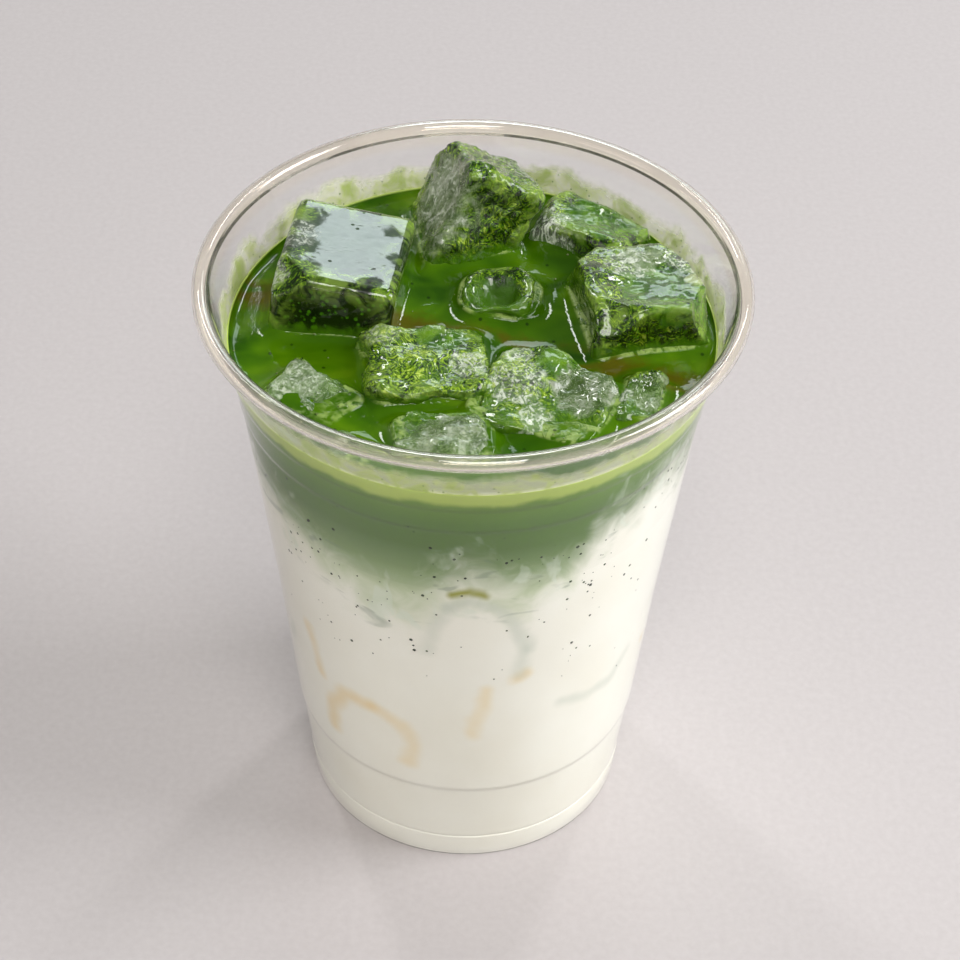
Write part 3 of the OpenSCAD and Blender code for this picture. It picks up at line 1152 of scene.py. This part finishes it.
@dataclass
class Studio:
    """The floor, the lamps and the camera."""

    elevation: float = 42.23
    distance: float = 0.4763
    target: tuple = (0.0008, 0.0, 0.07194)
    roll: float = 1.2
    lens: float = 95.7
    shift: float = 0.0064

    def camera(self) -> None:
        """Stand the camera in front of the cup, looking down at it."""
        e, roll = math.radians(self.elevation), math.radians(self.roll)
        look = Vector((0, math.cos(e), -math.sin(e)))
        right = Vector((1, 0, 0))
        up = right.cross(look)
        across = right * math.cos(roll) + up * math.sin(roll)
        over = up * math.cos(roll) - right * math.sin(roll)
        data = bpy.data.cameras.new("view")
        data.lens, data.sensor_width, data.shift_x = self.lens, 36.0, self.shift
        data.clip_start = 0.01
        made = bpy.data.objects.new("view", data)
        turn = Matrix((across, over, -look)).transposed()
        made.matrix_world = Matrix.Translation(Vector(self.target) - look * self.distance) @ turn.to_4x4()
        bpy.context.scene.collection.objects.link(made)
        bpy.context.scene.camera = made

    def lamp(self, name: str, place: Sequence[float], size: Sequence[float], power: float, colour=(1, 1, 1)) -> None:
        """Hang a soft box that faces the drink.

        Args:
            name: The lamp's name.
            place: Where it hangs, in metres.
            size: Its width and height, in metres.
            power: Its power in watts.
            colour: Its colour.
        """
        data = bpy.data.lights.new(name, "AREA")
        data.shape, data.size, data.size_y = "RECTANGLE", size[0], size[1]
        data.energy, data.color = power, colour
        made = bpy.data.objects.new(name, data)
        made.location = place
        aim = Vector((0, 0, 0.09)) - Vector(place)
        made.rotation_euler = aim.to_track_quat("-Z", "Y").to_euler()
        bpy.context.scene.collection.objects.link(made)

    def floor(self) -> None:
        """Lay the floor."""
        made = bmesh.new()
        bmesh.ops.create_grid(made, x_segments=1, y_segments=1, size=3000.0)
        piece = to_object(made, "floor", PaleFloor("pale floor").build())

    def air(self) -> None:
        """Light the air: pale low down and to the right, dim overhead."""
        world = bpy.data.worlds.new("soft air")
        world.use_nodes = True
        graph = Graph(world)
        x, _, z = graph.axes(graph.node("TexCoord").outputs["Generated"])
        high = graph.step(z, 0.12, 0.6)
        colour = graph.blend(high, (1.0, 0.94, 0.86, 1.0), (0.2, 0.215, 0.22, 1.0))
        strength = graph.maths("MULTIPLY_ADD", x, 0.04, 0.62)
        shine = graph.node("Background", Color=colour, Strength=strength)
        out = graph.node("OutputWorld")
        graph.put(out.inputs["Surface"], shine.outputs[0])
        bpy.context.scene.world = world

    def build(self) -> None:
        """Set up the studio."""
        self.floor()
        self.camera()
        self.air()
        bpy.context.scene.view_settings.view_transform = "Standard"
        self.lamp("window", (0.95, -0.05, 0.8), (0.6, 0.6), 9.5, (0.97, 0.985, 1.0))
        self.lamp("left_wall", (-0.9, -0.5, 0.45), (0.6, 0.6), 1.4, (1.0, 0.96, 0.9))
        for name, x in (("left_strip", -0.52), ("right_strip", 0.5)):
            self.lamp(name, (x, 0.9, 1.1), (0.1, 0.5), 3.0)
        self.lamp("back_softbox", (0.14, 1.16, 0.75), (0.46, 0.3), 1.9, (0.86, 0.98, 1.0))
        self.lamp("fill", (0.1, -0.7, 1.15), (0.5, 0.5), 7.5, (1.0, 0.98, 0.95))


CLEAR, FROST, SMOOTH, PAINTED_SHADE, DULL, DEEP, FOAM = Look

# Every block's node, size, turns and patches, placed from its middle as the patches' looks lie on it. Dark patches
# are painted shade on front faces and in the middle block's hollow.
ICE = (
    Block(
        "ice_back_left",
        (22, 28, 23),
        (-6, 7, -7),
        (
            Patch(DEEP, (4, 2, 12), 13),
            Patch(FROST, (-9, 3, 11), 5.5, 0.6),
            Patch(FROST, (-10, -6, 9), 4.5, 0.6),
            Patch(DULL, (-8, 8, 12), 5.5),
            Patch(DULL, (-7.5, -1, 12), 4.5),
            Patch(DULL, (-7, -9, 12), 4.5),
            Patch(DULL, (11, -2, 12), 2.6),
            Patch(DULL, (10, 7, 12), 3),
            Patch(DULL, (6, -11, 12), 2.6),
            Patch(PAINTED_SHADE, (0, -15, 0), 14),
            Patch(SMOOTH, (-9, -14, -2), 5.5),
            Patch(FROST, (8, -13, -3), 3, 0.6),
        ),
        0.4,
        0.9,
        0.15,
        worn=2.0,
        lumps=1.4,
        chips=1,
        seed=1,
    ),
    Block(
        "ice_back",
        (16, 18.5, 26),
        (-16, 30, 10),
        (
            Patch(CLEAR, (-8, -3, 9), 10),
            Patch(FROST, (-8, -3, 9), 8),
            Patch(FROST, (-7, 2, 12), 5),
            Patch(SMOOTH, (9, 1, 5), 6),
            Patch(PAINTED_SHADE, (2, -10, -6), 4, 0.5),
        ),
        0.6,
        0.2,
        0.4,
        worn=1.8,
        lumps=1.2,
        chips=3,
        seed=2,
    ),
    Block(
        "ice_back_right",
        (20.5, 12.5, 16),
        (-8, 4, -33),
        (
            # The frost at the left is partly a painted highlight for a bright white facet.
            Patch(FROST, (-9, 0, 5), 5.5),
            Patch(FROST, (-6, -4, 4), 3.5),
            Patch(SMOOTH, (3, 2, 8), 8),
            Patch(PAINTED_SHADE, (-1, -7, 1), 4),
        ),
        0.35,
        0.4,
        worn=2.4,
        lumps=1.6,
        seed=3,
    ),
    Block(
        "ice_right",
        (22, 23.5, 21),
        (-6, 6, 12),
        (
            Patch(SMOOTH, (5, -1, 11), 9),
            Patch(FROST, (-1, 6, 11), 4.5),
            Patch(FROST, (9, 8, 7), 4.5, 0.8),
            Patch(FOAM, (10.5, 2, 9), 2.2, 0.6),
            Patch(CLEAR, (1, 9, 9), 4, 0.6),
        ),
        0.45,
        0.4,
        1.3,
        worn=2.4,
        lumps=1.7,
        seed=4,
    ),
    Block(
        "ice_middle",
        (16, 14, 16),
        (5, -4, -6),
        (Patch(PAINTED_SHADE, (0, 0, 3), 4.8), Patch(DULL, (0, 0, 2.5), 4), Patch(SMOOTH, (0, -6, 6), 5)),
        0.45,
        0.5,
        5.2,
        5.6,
        chips=0,
        steep=2.2,
        seed=5,
    ),
    Block(
        "ice_near_left",
        (22, 19, 19),
        (6, 5, 10),
        (Patch(FROST, (8, -2, 9), 3.5, 0.8), Patch(SMOOTH, (3, 5, 8), 4), Patch(FROST, (-7, 5, 8), 3, 0.6)),
        0.8,
        0.1,
        1.2,
        seed=6,
    ),
    Block(
        "ice_near_right",
        (24.5, 19.5, 19),
        (7, 4, -24),
        (
            Patch(FROST, (-5, 1, 9), 5, 0.9),
            Patch(FROST, (-2, -7, 6), 4, 0.8),
            Patch(FROST, (-5, 8, 7), 4, 0.9),
            Patch(FROST, (3, 9, 7), 3, 0.8),
            Patch(CLEAR, (7, 0, 8), 6),
            Patch(SMOOTH, (2, 6, 9), 4),
        ),
        0.75,
        0.1,
        1.2,
        seed=7,
    ),
    Block(
        "ice_left",
        (17, 12, 18),
        (6, 8, -34),
        (Patch(CLEAR, (0, 0, 8), 8), Patch(FROST, (-3, 2, 8), 5, 0.9)),
        worn=2.4,
        lumps=1.8,
        chips=3,
        seed=8,
    ),
    Block(
        "ice_front",
        (18, 13.5, 17),
        (10, -5, 5),
        (Patch(CLEAR, (0, -3, 7), 8, 0.8), Patch(FROST, (3, -2, 8), 4, 0.6)),
        0.5,
        seed=9,
    ),
    Block(
        "ice_edge",
        (11, 6.5, 11),
        (14, 5, -30),
        (Patch(CLEAR, (0, -2, 4), 6, 0.9), Patch(FROST, (0, -3, 4), 3, 0.7)),
        worn=1.9,
        lumps=1.2,
        seed=10,
    ),
    Block(
        "ice_side",
        (8, 12, 15),
        (5, -8, -14),
        (Patch(CLEAR, (2, 0, 6), 5, 0.8), Patch(PAINTED_SHADE, (2, -5, 3), 4), Patch(FROST, (-4, 0, 7), 1.8)),
        worn=1.9,
        lumps=1.2,
        seed=11,
    ),
)

# The grey arcs are painted shade along the edges of sunk blocks.
AMBER, SUNK_EDGE_SHADE, LENS = tint(236, 206, 134), tint(198, 206, 194), tint(158, 160, 66)
STROKES = (
    Stroke(((-25, -23, 29), (-24.9, -24, 36), (-22.4, -27, 42), (-17.6, -31, 43)), 3.2, AMBER, 0.48),
    Stroke(((-17.6, -31, 43), (-12, -33, 40), (-9.7, -33, 35), (-10.5, -32, 29)), 3.0, AMBER, 0.36),
    Stroke(((3.6, -36, 53), (3.2, -36, 48), (1.6, -35, 40)), 2.8, AMBER, 0.36),
    Stroke(((11, -35, 57.4), (9.6, -35.4, 56)), 2.5, AMBER, 0.45),
    Stroke(((-29, -22.5, 55.6), (-28.6, -22.8, 49), (-27, -23, 43.8)), 2.5, AMBER, 0.45),
    Stroke(((-7, -37.5, 64), (-5.6, -37.7, 72), (-3, -39, 77)), 2.6, SUNK_EDGE_SHADE, 0.35),
    Stroke(((-3, -39, 77), (0.6, -39.5, 79), (5, -38.8, 77.6), (9, -37.4, 72), (11, -36, 64)), 2.6, SUNK_EDGE_SHADE, 0.45),
    Stroke(((11, -36, 64), (9.8, -35.6, 57)), 2.6, SUNK_EDGE_SHADE, 0.35),
    Stroke(((29.8, -19.8, 47.5), (27.5, -22.6, 43.4), (23, -26.5, 43), (18.5, -30.5, 45.4)), 2.6, SUNK_EDGE_SHADE, 0.4),
    Stroke(((-2.2, -39.6, 80.8), (0.6, -39.8, 81.6), (3.2, -39.6, 80.8)), 1.7, LENS, 1.0),
)


def main() -> None:
    """Build the drink, its cup and the studio."""
    logging.basicConfig(level=logging.INFO, format="%(message)s")
    cup = Cup()
    cup.build(ClearSheet("clear plastic"))
    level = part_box("matcha")[1].z / MM - Drink.climb_h
    for block in ICE:
        block.build(level)
    drink = Drink(cup, ICE, STROKES)
    drink.milk()
    drink.matcha()
    trimmings = Trimmings(drink)
    trimmings.film()
    trimmings.grains()
    trimmings.bubbles()
    Studio().build()


if __name__ == "__main__":
    main()
